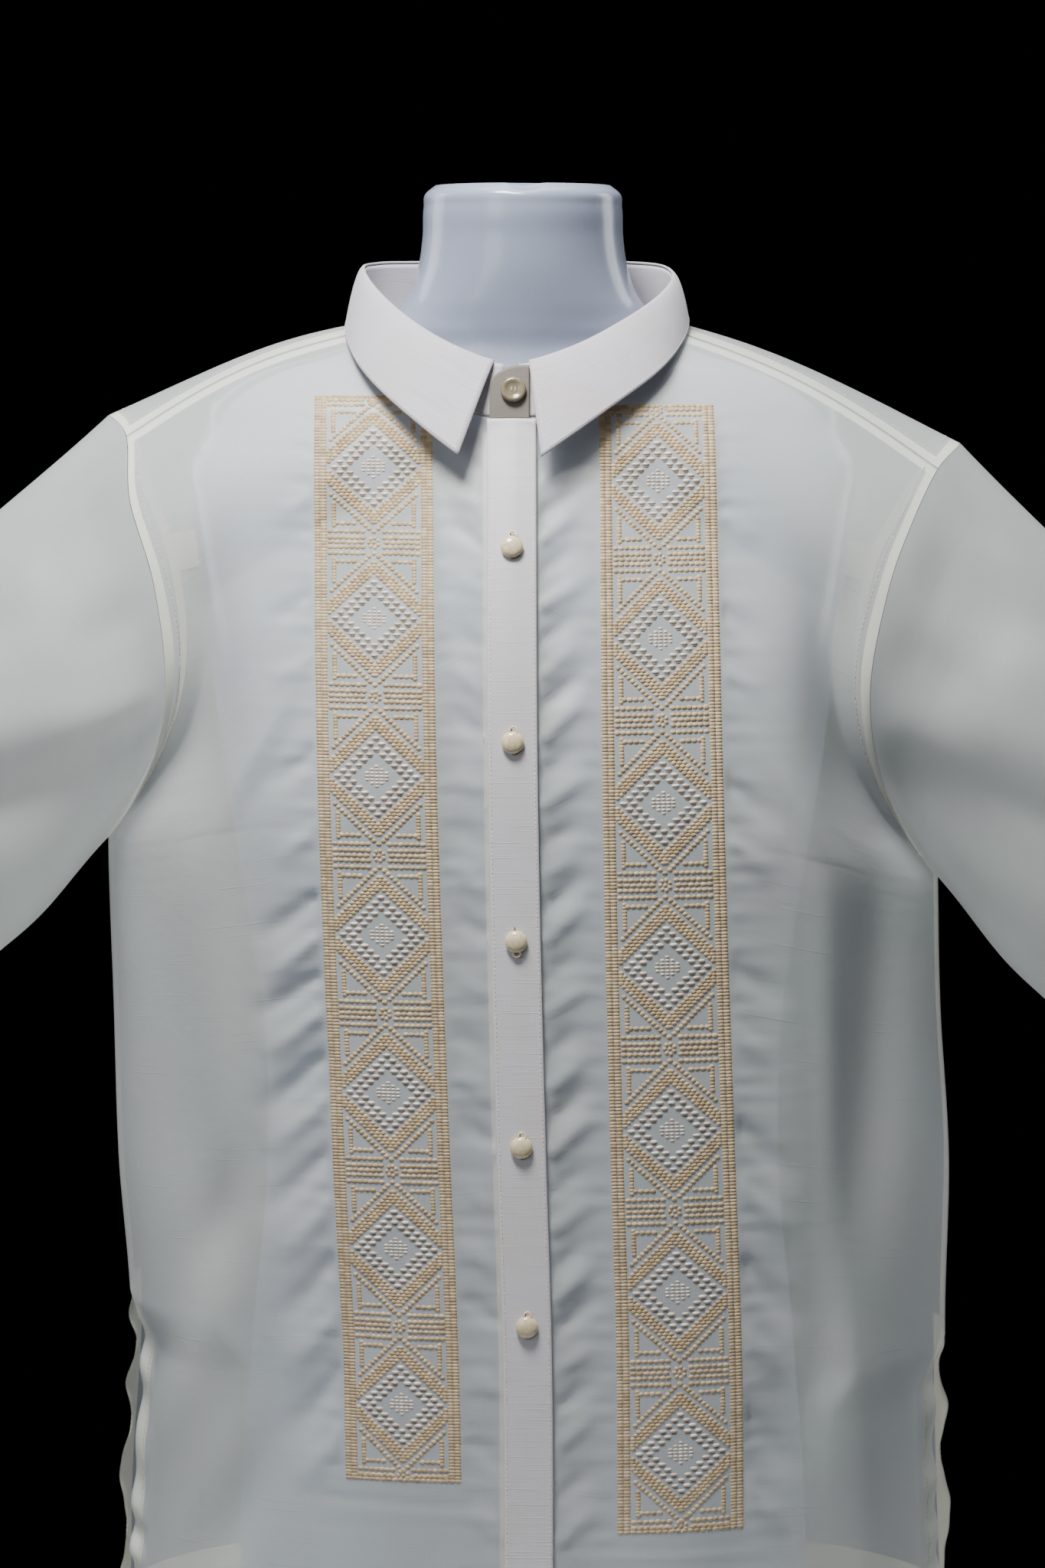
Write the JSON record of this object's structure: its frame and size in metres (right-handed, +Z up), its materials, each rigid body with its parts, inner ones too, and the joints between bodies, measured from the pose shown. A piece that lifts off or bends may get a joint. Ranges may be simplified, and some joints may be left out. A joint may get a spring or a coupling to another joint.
{
  "type": "short-sleeved barong tagalog shirt on a dress form",
  "caption": "Sheer button-front shirt with short sleeves, a turned-down collar and embroidered bands down both fronts, on a limbless dress form.",
  "frame": {"origin": "centre of the bounding box at the dress form's flat base, on the standing surface", "axes": "+Z up, the front faces -Y, +X towards the wearer's left"},
  "size_m": [0.8848, 0.2765, 0.924],
  "materials": {
    "dress_form": "smooth glossy bluish white",
    "front_left": "sheer crisp off-white plain weave with a satin sheen",
    "front_right": "sheer crisp off-white plain weave with a satin sheen",
    "back": "sheer crisp off-white plain weave with a satin sheen",
    "yoke": "sheer crisp off-white plain weave with a satin sheen",
    "sleeve_left": "sheer crisp off-white plain weave with a satin sheen",
    "sleeve_right": "sheer crisp off-white plain weave with a satin sheen",
    "collar_stand": "opaque lined white with fine slubs",
    "collar_leaf": "opaque lined white with fine slubs",
    "stand_tab": "opaque lined white with fine slubs",
    "placket": "opaque lined white with fine slubs",
    "button_band": "opaque lined white with fine slubs",
    "embroidery_left": "beige and pale cream satin stitch",
    "embroidery_right": "beige and pale cream satin stitch",
    "button_1": "pearl cream",
    "button_2": "pearl cream",
    "button_3": "pearl cream",
    "button_4": "pearl cream",
    "button_5": "pearl cream",
    "collar_button": "pearl cream"
  },
  "bodies": {
    "root": {"dress_form": "dress_form", "front_left": "front_left", "front_right": "front_right", "back": "back", "yoke": "yoke", "sleeve_left": "sleeve_left", "sleeve_right": "sleeve_right", "collar_stand": "collar_stand", "collar_leaf": "collar_leaf", "stand_tab": "stand_tab", "placket": "placket", "button_band": "button_band", "embroidery_left": "embroidery_left", "embroidery_right": "embroidery_right", "button_1": "button_1", "button_2": "button_2", "button_3": "button_3", "button_4": "button_4", "button_5": "button_5", "collar_button": "collar_button"}
  },
  "joints": []
}
